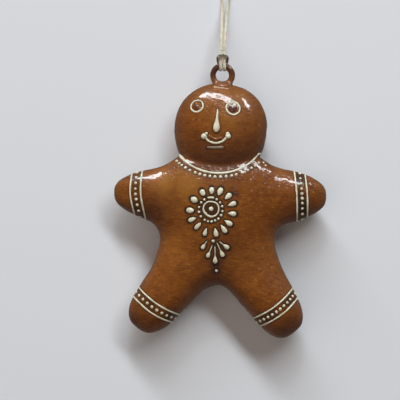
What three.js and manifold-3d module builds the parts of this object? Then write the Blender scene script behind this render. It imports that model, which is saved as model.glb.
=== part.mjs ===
// Gingerbread man hanging ornament: a puffy brown figure with raised cream decoration,
// a small ring standing on its head and a loop of string hitched round the ring.
//
// Millimetres. It lies on its back: X runs across the arms, Y from the feet to the head and
// Z up from the table, so the decorated front looks up.
//
// The trunk is the level surface of a distance field: a torso, two arms and two legs, each a
// rounded lobe, blended into one another. The head is a lobe that meets it in a sharp crease
// under the chin. Both are meshed on a grid, and every painted dot, drop and line is then set
// on the surface that the field gives and joined to it.

import * as THREE from "three";
import { mergeVertices } from "three/addons/utils/BufferGeometryUtils.js";
import Module from "manifold-3d";

// ---------------------------------------------------------------- driving dimensions

const MID_PLANE = 12; // the plane of the outline, midway between front and back
const CELL = 3.2; // grid step of the figure's surface
const GAP = 0.4; // clearance between the ring's foot and the crown

// A lobe is an oval seen from the front, with an elliptical section front to back.
// turn points along its length; taper widens it that way; squareness 2 is an ellipse.
const HEAD = {
  x: 0.1, y: 27.4, turn: 76, halfLength: 19, halfWidth: 18, taper: 0.04, squareness: 2.1, halfDepth: 12.5,
};
const TORSO = {
  x: -0.8, y: -4.7, turn: 90, halfLength: 26, halfWidth: 21.3, taper: -0.09, squareness: 3, halfDepth: 12.6,
};
const LEFT_ARM = {
  x: -24.3, y: 1.9, turn: 177, halfLength: 17.6, halfWidth: 11.1, taper: -0.4, squareness: 3, halfDepth: 8.2,
};
const RIGHT_ARM = {
  x: 22.5, y: 1, turn: 1, halfLength: 19.5, halfWidth: 11.4, taper: -0.35, squareness: 3, halfDepth: 8.2,
};
const LEFT_LEG = {
  x: -21.3, y: -36.6, turn: 231.5, halfLength: 18.2, halfWidth: 10.2, taper: -0.15, squareness: 3, halfDepth: 9.6,
};
const RIGHT_LEG = {
  x: 19, y: -38.5, turn: -54, halfLength: 17.7, halfWidth: 10.2, taper: -0.15, squareness: 3, halfDepth: 9.6,
};
const ARM_BLEND = 7.6; // widths of the soft hollows where lobes meet
const CROTCH_BLEND = 10.4;
const HIP_BLEND = 10;
const NARROWEST = 0.15; // least share of its width that a lobe tapers to

// Boxes that hold the trunk and the head, for meshing them.
const TRUNK_BOX = [new THREE.Vector3(-45, -57, MID_PLANE - 15), new THREE.Vector3(45, 26, MID_PLANE + 15)];
const HEAD_BOX = [new THREE.Vector3(-21, 5, MID_PLANE - 15), new THREE.Vector3(21, 49, MID_PLANE + 15)];
const SLOPE_STEP = 0.01; // distance over which the field's slope is measured
const RAY_STEP = 0.5; // steps of a ray on its way out of the figure

const LINE_RADIUS = 0.5; // painted lines
const COLLAR_RADIUS = 0.55;
const MOUTH_RADIUS = 0.55;
const DOT_RADIUS = 0.7;
const DOT_HEIGHT = 0.5;
const SINK = 0.15; // how far the middle of a painted line or drop lies under the surface
const LINE_SIDES = 5;
const LINE_STEP = 3; // length of one straight piece of a line round a limb
const COLLAR_STEP = 2.4; // and of the collar's line
const FACE_STEP = 1.3; // and of a line in the face
const RING_MARK_STEPS = 18; // straight pieces of a painted ring
const BAND_POINTS = 17; // points that a line round a limb is drawn through
const PAST_OUTLINE = 20; // degrees that a line round a limb runs on behind the outline
const DOT_SIDES = 5;
const DROP_SIDES = 6;

// Half sections in radii, away from the axis and along it. A dot goes on to its height, a drop
// to its point, DROP_WAIST of its radius wide halfway there.
const DOT_SECTION = [[0, -1], [1, -0.5]];
const DROP_SECTION = [[0, -1], [0.75, -0.65], [1, 0]];
const DROP_WAIST = 0.6;

// Pairs of lines with a row of dots between them, round each limb. toTip is the direction of
// the limb's end, bow how far the middle of the band is pushed that way, front and back.
const BAND_WIDTH = 4.2;
const BANDS = [
  { x: -32.6, y: 2.4, toTip: 184, bow: 1.2, dots: 9 },
  { x: 32.3, y: 1.5, toTip: 3, bow: 0.4, dots: 10 },
  { x: -25.5, y: -42.2, toTip: 236, bow: 1.35, dots: 10 },
  { x: 22.4, y: -43, toTip: -53, bow: 1.35, dots: 12 },
];
const DOT_SPREAD = 1; // radians: how much a row of dots closes up towards the outline
const DOT_REACH = 0.98; // share of the limb's width that the row covers

// The collar's line and dots lie on arcs under the head, as seen from the front. Angles are in
// degrees from the bottom of the arc, and as uneven as hand-set dots.
const COLLAR = { x: -0.6, y: 26, halfWidth: 18.3, halfHeight: 15.3 };
const COLLAR_END = 60;
const COLLAR_POINTS = 25;
const COLLAR_DOTS = { x: -0.6, y: 26, halfWidth: 21.4, halfHeight: 16.8 };
const COLLAR_DOT_ANGLES = [
  -51.5, -47.5, -43.5, -38.5, -32.5, -26, -20.5, -15, -9.5, -4, 2, 8, 14, 19, 26, 33, 38, 43, 48.5,
];
const SHOULDER_DOTS = [[17.3, 14.9], [18.2, 13.8]];
const SHOULDER_DOT_RADIUS = 0.55;

// The flower on the chest: a ring, a circle of dots with one dash, and a wreath of drops.
// Angles run clockwise from the top and are as uneven as a hand-painted flower's.
const FLOWER_RING = { x: -3.6, y: -3.6, radius: 3.05 };
const FLOWER_HEART_RADIUS = 0.9;
const FLOWER_DOTS = { x: -3.8, y: -3.9, radius: 4.75 };
const FLOWER_DOT_RADIUS = 0.65;
const FLOWER_DOT_ANGLES = [30, 53, 74, 98, 118, 139, 158, 176, 193, 210, 235, 259, 282, 307, 328];
const FLOWER_DASH = [[-5.2, 0.85], [-2.3, 0.85]];
const PETAL_RING = { x: -3.4, y: -4.5, radius: 8.4 };
const PETAL_ANGLES = [0, 23, 48, 71, 97, 125, 146, 169, 197, 223, 247, 272, 303, 334];
const PETAL_RADIUS = 1.15;
const PETAL_TAIL = 2.6; // from the middle of its round end to its point
const PETAL_OFFSET = 0.5; // how far the round end's middle lies outside the ring of petals

// The hanging spray under the flower: drops from their round end to their point.
const SPRAY = [
  { blob: [-6.9, -18.9], tail: [-5.2, -16.4], radius: 1 },
  { blob: [-4.9, -22.2], tail: [-3, -18], radius: 1.05 },
  { blob: [-2, -24.4], tail: [-2.1, -18.2], radius: 1.2 },
  { blob: [0.9, -21.8], tail: [-1.4, -17], radius: 1.15 },
  { blob: [2.7, -18.8], tail: [-0.5, -16.5], radius: 1.2 },
];
const SPRAY_DOTS = [
  { at: [-2.8, -16.4], radius: 0.75 },
  { at: [-1.5, -28.3], radius: 0.65 },
];

const EYES = [
  { at: [-9.3, 37.4], radius: 2.4, pupil: 0.9 },
  { at: [5.2, 36.6], radius: 2.75, pupil: 1 },
];
const NOSE = { blob: [-1.5, 28.4], tail: [-1, 36.4], radius: 1.4 };
const MOUTH = [[-6.2, 25.6], [-4.6, 23.4], [-2, 22.5], [1.2, 23.3], [3.2, 25.4]];
const MOUTH_END_RADIUS = 1.25;
const CHIN_LINE = [[-5.4, 21], [-2, 20.9], [1.5, 21]];

// The ring stands on the crown with its hole facing front and back.
const RING = { x: 0.95, y: 49.8, radius: 3.78, thickness: 1.2 };
const RING_SIDES = 8;
const RING_STEPS = 24;
const RING_FOOT = { y: 45.3, halfLength: 4.1, halfHeight: 1.8, halfDepth: 5.6 };
const FOOT_SIDES = 12;
const FOOT_ROWS = 8;
const CROWN_CELL = 2.2; // grid step of the crown that the foot is cut to

const STRING_RADIUS = 0.6;
const STRING_SIDES = 8;
const STRING_STEPS = 30;
const KNOT_STEPS = 30;
const KNOT_RADIUS = 0.55;

// Half of the cow hitch, from the strand in front of the ring down, under and behind it, and
// over into the bight in front; the other half mirrors it about the ring's middle.
const HITCH = [
  [-0.78, 58.8, 13.5], [-0.78, 57, 13.7], [-0.78, 55.2, 14.1], [-0.8, 53.5, 14.3], [-0.85, 51.9, 13.8],
  [-0.95, 51.2, 12], [-1.15, 51.9, 10.2], [-1.4, 53.6, 9.65], [-1.75, 55.4, 10.3], [-1.95, 56.5, 12.1],
  [-1.8, 57.1, 14], [-1.2, 57.6, 15.2],
];
const HITCH_BIGHT = { y: 57.8, z: 15.4 };

// The string leaves the hitch, sinks to the table and turns back in a round end.
const STRING_ROUTE = [
  [0.5, 59.3, 13.4], [0.5, 61.5, 12.9], [0.55, 63.8, 11.7], [0.65, 66.2, 9.8], [0.75, 68.4, 7.6],
  [0.8, 70.5, 5.3], [0.85, 72.8, 3.2], [0.85, 75.2, 1.7], [0.9, 77.8, 0.9], [0.8, 80.5, 0.65],
  [0.35, 83.5, 0.65], [0, 86.5, 0.65], [0.1, 89.2, 0.65], [1, 91.3, 0.65], [2.7, 92.4, 0.65],
  [4.4, 91.5, 0.65], [5.2, 89.4, 0.65], [5.1, 86.6, 0.65], [4.4, 83.6, 0.65], [3.5, 80.6, 0.65],
  [3.1, 78, 0.9], [2.85, 75.4, 1.7], [2.7, 73, 3.2], [2.55, 70.7, 5.3], [2.4, 68.6, 7.6],
  [2.25, 66.4, 9.8], [2.05, 64, 11.7], [1.9, 61.6, 12.9], [1.85, 59.3, 13.4],
];

// ---------------------------------------------------------------- the figure as a field

// Signed distance to a lobe, exact near its surface.
function lobeDistance(lobe, x, y, z) {
  const turn = THREE.MathUtils.degToRad(lobe.turn);
  const dx = x - lobe.x;
  const dy = y - lobe.y;
  const along = (dx * Math.cos(turn) + dy * Math.sin(turn)) / lobe.halfLength;
  const widening = Math.max(1 + lobe.taper * along, NARROWEST);
  const halfWidth = lobe.halfWidth * widening;
  const across = (dy * Math.cos(turn) - dx * Math.sin(turn)) / halfWidth;
  const depth = (z - MID_PLANE) / lobe.halfDepth;
  const n = lobe.squareness;
  const oval = (Math.abs(along) ** n + Math.abs(across) ** n + 1e-12) ** (1 / n);
  const level = Math.hypot(oval, depth);
  const slopeAcross = Math.sign(across) * (Math.abs(across) / oval) ** (n - 1);
  const slopeAlong =
    Math.sign(along) * (Math.abs(along) / oval) ** (n - 1) - (slopeAcross * across * lobe.taper) / widening;
  const share = oval / level;
  const steepness = Math.hypot(
    (share * slopeAlong) / lobe.halfLength,
    (share * slopeAcross) / halfWidth,
    depth / level / lobe.halfDepth,
  );
  return (level - 1) / (steepness + 1e-6);
}

// The nearer of two distances, rounded over where they are about equal.
function blend(a, b, width) {
  const overlap = Math.max(width - Math.abs(a - b), 0) / width;
  return Math.min(a, b) - (overlap * overlap * width) / 4;
}

function trunkDistance(x, y, z) {
  const at = (lobe) => lobeDistance(lobe, x, y, z);
  const legs = blend(at(LEFT_LEG), at(RIGHT_LEG), CROTCH_BLEND);
  const torsoAndLegs = blend(at(TORSO), legs, HIP_BLEND);
  return blend(torsoAndLegs, Math.min(at(LEFT_ARM), at(RIGHT_ARM)), ARM_BLEND);
}

function headDistance(x, y, z) {
  return lobeDistance(HEAD, x, y, z);
}

function figureDistance(x, y, z) {
  return Math.min(trunkDistance(x, y, z), headDistance(x, y, z));
}

function gradient(field, p) {
  const e = SLOPE_STEP;
  return new THREE.Vector3(
    field(p.x + e, p.y, p.z) - field(p.x - e, p.y, p.z),
    field(p.x, p.y + e, p.z) - field(p.x, p.y - e, p.z),
    field(p.x, p.y, p.z + e) - field(p.x, p.y, p.z - e),
  ).divideScalar(2 * e);
}

// Where a ray from inside the figure leaves it.
function surfacePoint(origin, direction) {
  const at = (distance) => origin.clone().addScaledVector(direction, distance);
  const outside = (distance) => {
    const p = at(distance);
    return figureDistance(p.x, p.y, p.z) > 0;
  };
  let far = RAY_STEP;
  while (!outside(far)) far += RAY_STEP;
  let near = far - RAY_STEP;
  for (let i = 0; i < 20; i++) {
    const middle = (near + far) / 2;
    if (outside(middle)) far = middle;
    else near = middle;
  }
  return at(near);
}

function frontPoint([x, y]) {
  return surfacePoint(new THREE.Vector3(x, y, MID_PLANE), new THREE.Vector3(0, 0, 1));
}

function surfaceNormal(p) {
  return gradient(figureDistance, p).normalize();
}

// ---------------------------------------------------------------- meshing a field

// A closed mesh of the surface field = 0 inside a box: one vertex for each grid cell that the
// surface crosses, moved onto the surface, and one quad for each grid edge that it cuts.
function meshField(field, low, high, cell) {
  const count = high.clone().sub(low).divideScalar(cell).ceil().addScalar(1);
  const corner = (i, j, k) => (k * count.y + j) * count.x + i;
  const place = (i, j, k) => new THREE.Vector3(i, j, k).multiplyScalar(cell).add(low);
  const values = new Float64Array(count.x * count.y * count.z);
  const eachCell = (visit) => {
    for (let k = 0; k < count.z - 1; k++)
      for (let j = 0; j < count.y - 1; j++) for (let i = 0; i < count.x - 1; i++) visit(i, j, k);
  };
  for (let k = 0; k < count.z; k++)
    for (let j = 0; j < count.y; j++)
      for (let i = 0; i < count.x; i++) values[corner(i, j, k)] = field(...place(i, j, k).toArray());

  const vertices = [];
  const vertexOfCell = new Map();
  const axes = [[1, 0, 0], [0, 1, 0], [0, 0, 1]];
  eachCell((i, j, k) => {
    const sum = new THREE.Vector3();
    let crossings = 0;
    for (const [axis, [di, dj, dk]] of axes.entries())
      for (let side = 0; side < 4; side++) {
        const offset = [side & 1, side >> 1];
        offset.splice(axis, 0, 0);
        const [a, b, c] = [i + offset[0], j + offset[1], k + offset[2]];
        const from = values[corner(a, b, c)];
        const to = values[corner(a + di, b + dj, c + dk)];
        if (from < 0 === to < 0) continue;
        sum.add(place(a, b, c).lerp(place(a + di, b + dj, c + dk), from / (from - to)));
        crossings++;
      }
    if (!crossings) return;
    const vertex = sum.divideScalar(crossings);
    for (let pass = 0; pass < 4; pass++) {
      const slope = gradient(field, vertex);
      vertex.addScaledVector(slope, -field(vertex.x, vertex.y, vertex.z) / slope.lengthSq());
    }
    vertexOfCell.set(corner(i, j, k), vertices.length);
    vertices.push(vertex);
  });

  const index = [];
  const addQuad = (a, b, c, d) => {
    const across = vertices[a].distanceTo(vertices[c]);
    const other = vertices[b].distanceTo(vertices[d]);
    if (across <= other) index.push(a, b, c, a, c, d);
    else index.push(a, b, d, b, c, d);
  };
  eachCell((i, j, k) => {
    for (const [axis, [di, dj, dk]] of axes.entries()) {
      const here = values[corner(i, j, k)];
      const next = values[corner(i + di, j + dj, k + dk)];
      if (here < 0 === next < 0) continue;
      const [e, f] = [axes[(axis + 1) % 3], axes[(axis + 2) % 3]];
      const around = [[0, 0], [1, 0], [1, 1], [0, 1]].map(([s, t]) =>
        vertexOfCell.get(corner(i - s * e[0] - t * f[0], j - s * e[1] - t * f[1], k - s * e[2] - t * f[2])),
      );
      addQuad(...(here < 0 ? around : around.reverse()));
    }
  });

  const geometry = new THREE.BufferGeometry().setFromPoints(vertices);
  geometry.setIndex(index);
  return geometry;
}

// ---------------------------------------------------------------- joining solids

const wasm = await Module();
wasm.setup();

function solidOf(geometry) {
  const bare = geometry.clone();
  bare.deleteAttribute("normal");
  bare.deleteAttribute("uv");
  const merged = mergeVertices(bare, 1e-4);
  return new wasm.Manifold(
    new wasm.Mesh({
      numProp: 3,
      vertProperties: new Float32Array(merged.attributes.position.array),
      triVerts: new Uint32Array(merged.index.array),
    }),
  );
}

function geometryOf(solid) {
  const mesh = solid.getMesh();
  const geometry = new THREE.BufferGeometry();
  geometry.setAttribute("position", new THREE.BufferAttribute(mesh.vertProperties, 3));
  geometry.setIndex(new THREE.BufferAttribute(mesh.triVerts, 1));
  geometry.computeVertexNormals();
  return geometry;
}

// ---------------------------------------------------------------- painted marks

// A tube of even thickness along a list of points.
function tube(points, radius, sides, steps) {
  const section = new THREE.Shape(
    Array.from({ length: sides }, (_, i) => {
      const angle = (i / sides) * 2 * Math.PI;
      return new THREE.Vector2(radius * Math.cos(angle), radius * Math.sin(angle));
    }),
  );
  const extrudePath = new THREE.CatmullRomCurve3(points);
  return new THREE.ExtrudeGeometry(section, { steps, bevelEnabled: false, extrudePath });
}

// Moves a shape made round the origin, with its top towards +Z and its length along X, onto
// the surface at a point.
function setOnSurface(geometry, point, lengthways) {
  const up = surfaceNormal(point);
  const side = new THREE.Vector3().crossVectors(up, lengthways).normalize();
  const ahead = new THREE.Vector3().crossVectors(side, up);
  const frame = new THREE.Matrix4().makeBasis(ahead, side, up);
  return geometry.applyMatrix4(frame).translate(
    point.x - SINK * up.x,
    point.y - SINK * up.y,
    point.z - SINK * up.z,
  );
}

function dot(point, radius) {
  const buried = DOT_SECTION.map(([away, height]) => new THREE.Vector2(away * radius, height * radius));
  const showing = [new THREE.Vector2(radius, SINK), new THREE.Vector2(0, DOT_HEIGHT + SINK)];
  const shape = new THREE.LatheGeometry([...buried, ...showing], DOT_SIDES).rotateX(Math.PI / 2);
  return setOnSurface(shape, point, new THREE.Vector3(1, 0, 0));
}

// A drop of paint: round at one end, drawn out to a point at the other.
function drop({ blob, tail, radius }) {
  const from = frontPoint(blob);
  const to = frontPoint(tail);
  const length = from.distanceTo(to);
  const roundEnd = DROP_SECTION.map(([away, along]) => new THREE.Vector2(away * radius, along * radius));
  const point = [new THREE.Vector2(DROP_WAIST * radius, 0.5 * length), new THREE.Vector2(0, length)];
  const shape = new THREE.LatheGeometry([...roundEnd, ...point], DROP_SIDES).rotateZ(-Math.PI / 2);
  return setOnSurface(shape, from, to.clone().sub(from));
}

function ringMark([x, y], radius) {
  const shape = new THREE.TorusGeometry(radius, LINE_RADIUS, LINE_SIDES, RING_MARK_STEPS);
  return setOnSurface(shape, frontPoint([x, y]), new THREE.Vector3(1, 0, 0));
}

function paintedLine(surfacePoints, radius, step) {
  const sunk = surfacePoints.map((p) => p.clone().addScaledVector(surfaceNormal(p), -SINK));
  const length = new THREE.CatmullRomCurve3(sunk).getLength();
  return tube(sunk, radius, LINE_SIDES, Math.max(Math.round(length / step), 2));
}

// The point of a band round a limb, at an angle in radians round the limb: 0 on its outline on
// one side, over its front to pi on the other side.
function bandPoint(band, angle) {
  const toTip = THREE.MathUtils.degToRad(band.toTip);
  const push = band.bow * Math.sin(angle) ** 2;
  const origin = new THREE.Vector3(band.x, band.y, MID_PLANE);
  origin.x += push * Math.cos(toTip);
  origin.y += push * Math.sin(toTip);
  const across = new THREE.Vector3(-Math.sin(toTip), Math.cos(toTip), 0).multiplyScalar(Math.cos(angle));
  return surfacePoint(origin, across.setZ(Math.sin(angle)));
}

// A line over the front of a limb, which ends a little behind the outline on either side.
function bandLine(band) {
  const past = THREE.MathUtils.degToRad(PAST_OUTLINE);
  const points = Array.from({ length: BAND_POINTS }, (_, i) =>
    bandPoint(band, -past + ((Math.PI + 2 * past) * i) / (BAND_POINTS - 1)),
  );
  return paintedLine(points, LINE_RADIUS, LINE_STEP);
}

function bandDots(band) {
  return Array.from({ length: band.dots }, (_, i) => {
    const place = (2 * i) / (band.dots - 1) - 1;
    const angle = Math.acos((DOT_REACH * Math.sin(DOT_SPREAD * place)) / Math.sin(DOT_SPREAD));
    return dot(bandPoint(band, angle), DOT_RADIUS);
  });
}

function limbBand(band) {
  const toTip = THREE.MathUtils.degToRad(band.toTip);
  const lines = [-0.5, 0.5].map((side) => ({
    ...band,
    x: band.x + side * BAND_WIDTH * Math.cos(toTip),
    y: band.y + side * BAND_WIDTH * Math.sin(toTip),
  }));
  return [...lines.map(bandLine), ...bandDots(band)];
}

// A place on a collar's arc, at an angle from its bottom.
function onArc({ x, y, halfWidth, halfHeight }, degrees) {
  const angle = THREE.MathUtils.degToRad(degrees);
  return [x + halfWidth * Math.sin(angle), y - halfHeight * Math.cos(angle)];
}

function collar() {
  const line = Array.from({ length: COLLAR_POINTS }, (_, i) =>
    frontPoint(onArc(COLLAR, COLLAR_END * ((2 * i) / (COLLAR_POINTS - 1) - 1))),
  );
  const dots = COLLAR_DOT_ANGLES.map((angle) => dot(frontPoint(onArc(COLLAR_DOTS, angle)), DOT_RADIUS));
  const strays = SHOULDER_DOTS.map((at) => dot(frontPoint(at), SHOULDER_DOT_RADIUS));
  return [paintedLine(line, COLLAR_RADIUS, COLLAR_STEP), ...dots, ...strays];
}

// A place on a circle, at an angle clockwise from its top.
function onCircle({ x, y, radius }, degrees) {
  const angle = THREE.MathUtils.degToRad(degrees);
  return [x + radius * Math.sin(angle), y + radius * Math.cos(angle)];
}

function flower() {
  const petals = PETAL_ANGLES.map((angle) => {
    const blobRing = { ...PETAL_RING, radius: PETAL_RING.radius + PETAL_OFFSET };
    const tailRing = { ...PETAL_RING, radius: blobRing.radius - PETAL_TAIL };
    return drop({ blob: onCircle(blobRing, angle), tail: onCircle(tailRing, angle), radius: PETAL_RADIUS });
  });
  const middle = [FLOWER_RING.x, FLOWER_RING.y];
  return [
    dot(frontPoint(middle), FLOWER_HEART_RADIUS),
    ringMark(middle, FLOWER_RING.radius),
    ...FLOWER_DOT_ANGLES.map((angle) => dot(frontPoint(onCircle(FLOWER_DOTS, angle)), FLOWER_DOT_RADIUS)),
    paintedLine(FLOWER_DASH.map(frontPoint), LINE_RADIUS, FACE_STEP),
    ...petals,
  ];
}

function spray() {
  return [...SPRAY.map(drop), ...SPRAY_DOTS.map(({ at, radius }) => dot(frontPoint(at), radius))];
}

function face() {
  const eyes = EYES.flatMap(({ at, radius, pupil }) => [ringMark(at, radius), dot(frontPoint(at), pupil)]);
  const mouthEnds = [MOUTH[0], MOUTH.at(-1)].map((at) => dot(frontPoint(at), MOUTH_END_RADIUS));
  return [
    ...eyes,
    drop(NOSE),
    paintedLine(MOUTH.map(frontPoint), MOUTH_RADIUS, FACE_STEP),
    ...mouthEnds,
    paintedLine(CHIN_LINE.map(frontPoint), MOUTH_RADIUS, FACE_STEP),
  ];
}

// ---------------------------------------------------------------- the pieces

// Flattens what would reach below the table.
function onTable(geometry) {
  const position = geometry.attributes.position;
  for (let i = 0; i < position.count; i++) position.setZ(i, Math.max(position.getZ(i), 0));
  return geometry;
}

function figure() {
  const trunk = solidOf(onTable(meshField(trunkDistance, ...TRUNK_BOX, CELL)));
  const head = solidOf(onTable(meshField(headDistance, ...HEAD_BOX, CELL)));
  const marks = [
    ...BANDS.flatMap(limbBand),
    ...collar(),
    ...flower(),
    ...spray(),
    ...face(),
  ];
  return geometryOf(marks.reduce((solid, mark) => solid.add(solidOf(mark)), trunk.add(head)));
}

// The ring with its foot, cut to stand just clear of the crown.
function hangingRing() {
  const ring = new THREE.TorusGeometry(RING.radius, RING.thickness, RING_SIDES, RING_STEPS);
  ring.translate(RING.x, RING.y, MID_PLANE);
  const foot = new THREE.SphereGeometry(1, FOOT_SIDES, FOOT_ROWS);
  foot.scale(RING_FOOT.halfLength, RING_FOOT.halfHeight, RING_FOOT.halfDepth);
  foot.translate(RING.x, RING_FOOT.y, MID_PLANE);
  const grownHead = (x, y, z) => headDistance(x, y, z) - GAP;
  const crown = meshField(grownHead, ...HEAD_BOX, CROWN_CELL);
  return geometryOf(solidOf(ring).add(solidOf(foot)).subtract(solidOf(crown)));
}

function knot() {
  const left = HITCH.map(([x, y, z]) => new THREE.Vector3(RING.x + x, y, z));
  const bight = new THREE.Vector3(RING.x, HITCH_BIGHT.y, HITCH_BIGHT.z);
  const right = HITCH.map(([x, y, z]) => new THREE.Vector3(RING.x - x, y, z)).reverse();
  return tube([...left, bight, ...right], KNOT_RADIUS, STRING_SIDES, KNOT_STEPS);
}

function string() {
  const route = STRING_ROUTE.map((point) => new THREE.Vector3(...point));
  return tube(route, STRING_RADIUS, STRING_SIDES, STRING_STEPS);
}

const brownLacquer = new THREE.MeshStandardMaterial({ color: 0x8a4d1e, roughness: 0.3, metalness: 0 });
const brownLacquerOnWire = new THREE.MeshStandardMaterial({ color: 0x6f4020, roughness: 0.35, metalness: 0 });
const twine = new THREE.MeshStandardMaterial({ color: 0xb9ad93, roughness: 0.9, metalness: 0 });
const knottedTwine = new THREE.MeshStandardMaterial({ color: 0x9c9174, roughness: 0.9, metalness: 0 });

function piece(name, geometry, material) {
  const mesh = new THREE.Mesh(geometry, material);
  mesh.name = name;
  return mesh;
}

const ornament = new THREE.Group();
ornament.add(
  piece("body", figure(), brownLacquer),
  piece("hanging_ring", hangingRing(), brownLacquerOnWire),
  piece("cord_knot", knot(), knottedTwine),
  piece("cord", string(), twine),
);

export default ornament;
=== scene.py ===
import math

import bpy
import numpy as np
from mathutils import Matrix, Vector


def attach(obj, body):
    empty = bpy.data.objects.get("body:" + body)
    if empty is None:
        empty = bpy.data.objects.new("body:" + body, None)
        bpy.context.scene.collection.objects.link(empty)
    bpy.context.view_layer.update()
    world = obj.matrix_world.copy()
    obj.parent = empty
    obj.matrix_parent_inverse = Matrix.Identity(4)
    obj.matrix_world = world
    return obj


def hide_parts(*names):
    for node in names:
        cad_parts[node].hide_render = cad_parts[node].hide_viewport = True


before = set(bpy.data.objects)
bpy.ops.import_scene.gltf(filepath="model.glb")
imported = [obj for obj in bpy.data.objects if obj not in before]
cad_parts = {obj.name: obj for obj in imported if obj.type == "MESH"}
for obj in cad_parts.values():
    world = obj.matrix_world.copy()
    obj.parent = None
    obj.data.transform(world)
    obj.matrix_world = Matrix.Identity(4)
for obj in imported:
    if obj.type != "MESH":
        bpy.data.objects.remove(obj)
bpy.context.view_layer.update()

# Gingerbread man hanging ornament: a puffy lacquered figure with raised cream paint, a ring on
# its head and a doubled string hitched round the ring.
#
# The figure is a distance field close to the CAD body's: a coat of lacquer fuller, and uneven as
# hand work is. All paint is laid on the surface that the field gives. The figure's sizes are in
# millimetres until new_piece() makes a mesh of them. The string, camera and lights are in metres.
# Places of the front are given by x and y alone.

MM = 0.001
MID_PLANE = 12.0  # the plane of the outline, midway between front and back

# ---- sizes of the figure

# Its lobes: x and y of the middle, the direction of the length in degrees, half length, half
# width and half depth, the share by which the width grows towards that end, and how square the
# outline is, 2 being an ellipse.
HEAD = (0.1, 27.4, 76, 19, 18.2, 12.5, 0.04, 2.1)
TORSO = (-0.8, -4.7, 90, 26, 21.3, 12.6, -0.09, 3)
LEFT_ARM = (-24.3, 1.9, 177, 18.1, 11.1, 8.2, -0.4, 3)
RIGHT_ARM = (22.5, 1, 1, 19.75, 11.4, 8.2, -0.35, 3)
LEFT_LEG = (-21.3, -36.6, 231.5, 18.2, 10.2, 9.6, -0.15, 3)
RIGHT_LEG = (19, -38.5, -54, 17.7, 10.2, 9.6, -0.15, 3)
NARROWEST = 0.15  # the least share of its width that a tapering lobe keeps
ARM_BLEND = 7.6
CROTCH_BLEND = 10.4
HIP_BLEND = 10.0
CHIN_BLEND = 0.7
LACQUER_THICKNESS = 0.2  # how much fuller the figure is than its lobes

FIGURE_LOW = (-44.0, -57.0, -1.0)
FIGURE_HIGH = (44.0, 48.5, 26.5)
FIGURE_CELL = 0.44

# Waves of hand-made unevenness: wavelength and height.
UNEVENNESS = ((26.0, 0.16), (10.0, 0.06), (4.2, 0.022), (2.4, 0.009))
WAVES_EACH = 9
UNEVEN_WITHIN = 2  # the distance from the surface at which the waves still matter

# Steps of the search for the surface from inside the figure.
REACH_STEP = 0.5
FARTHEST_REACH = 40
HALVINGS = 14

# ---- sizes of the paint

# Lines and dots are given by their half widths, and a single dot by its place, its radius and,
# where it isn't the usual one, its rise. A swelling of a line is the angle of its middle, its
# extent in degrees, and the share by which it widens the line.
LINE = 0.35
DOT = 0.62
RISE = 0.75  # how high a line stands, in half widths
DOT_RISE = 0.8
DROP_RISE = 0.62
LINE_SUNK = 0.12  # how deep the middle of its section lies, in half widths
DOT_SUNK = 0.1
PAINT_SIDES = 12
PAINT_STEP = 0.35
DROP_STEP = 0.16
TAPERED_STEP = 0.2
TIP = 0.02  # the least half width of a tapered stroke
LOOP_POINTS = 150
CIRCLE_POINTS = 56
DOT_RINGS = 12
THINNEST = 1e-3
LINE_UNSTEADY, DROP_UNSTEADY = 0.06, 0.03  # how much the width varies, as a share
LOOP_UNSTEADY, CIRCLE_UNSTEADY = (0.03, 14), (0.012, 6)  # likewise, and the end of the waves' range
DOT_SIZES = (0.92, 1.08)
DOT_STRETCHES = (0.94, 1.08)

# Bands round the limbs. wash says how deep the wash lies in a band, at its start, middle and end
# over the front.
BANDS = (
    dict(x=-32.6, y=2.4, to_tip=184, bow=1.2, dots=9, wash=(0.95, 0.55, 0.4)),
    dict(x=32.3, y=1.5, to_tip=3, bow=0.4, dots=10, wash=(0.75, 0.9, 1.0)),
    dict(x=-25.5, y=-42.2, to_tip=236, bow=1.35, dots=10, wash=(1.0, 0.7, 0.35)),
    dict(x=22.4, y=-43, to_tip=-53, bow=1.35, dots=12, wash=(1.0, 0.45, 0.85)),
)
BAND_WIDTH = 4.2
BAND_FILL = (0.42, 0.56)  # where the wash in a band begins and ends to fade, in widths
BAND_REACH = 16  # farther off than this is another limb
DOT_SPREAD = 1.0  # how much a band's dots crowd together towards the outline
DOT_REACH = 0.98  # how near they come to it

# The collar's line and dots lie on arcs under the head, as seen from the front. Angles are in
# degrees from the bottom of the arc.
COLLAR = dict(x=-0.6, y=26.0, half_width=18.3, half_height=15.3)
COLLAR_LINE = 0.44
COLLAR_SWELLING = ((168, 14, 0.5),)
COLLAR_TOP = 18.4  # where the line runs into the notch between head and shoulder
COLLAR_DOTS = dict(x=-0.6, y=26.0, half_width=21.4, half_height=16.8)
COLLAR_DOT_ANGLES = (
    -51.5, -47.5, -43.5, -38.5, -32.5, -26, -20.5, -15, -9.5, -4, 2, 8, 14, 19, 26, 33, 38, 43, 48.5,
)
SHOULDER_DOTS = (((17.3, 14.9), 0.5), ((18.2, 13.8), 0.5))

FLOWER_HEART = ((-3.6, -3.6), 0.9)
FLOWER_RING = dict(x=-3.6, y=-3.6, radius=3.05, half_width=0.28, swelling=((225, 45, 0.6), (290, 25, 0.3)))
FLOWER_DOTS = dict(x=-3.8, y=-3.9, radius=4.75)
FLOWER_DOT = 0.5
FLOWER_DOT_ANGLES = (30, 53, 74, 98, 118, 139, 158, 176, 193, 210, 235, 259, 282, 307, 328)
FLOWER_DASH = ((-5.2, 0.85), (-3.7, 0.95), (-2.3, 0.85))
DASH_LINE = 0.42
PETAL_RING = dict(x=-3.4, y=-4.5)

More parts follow.
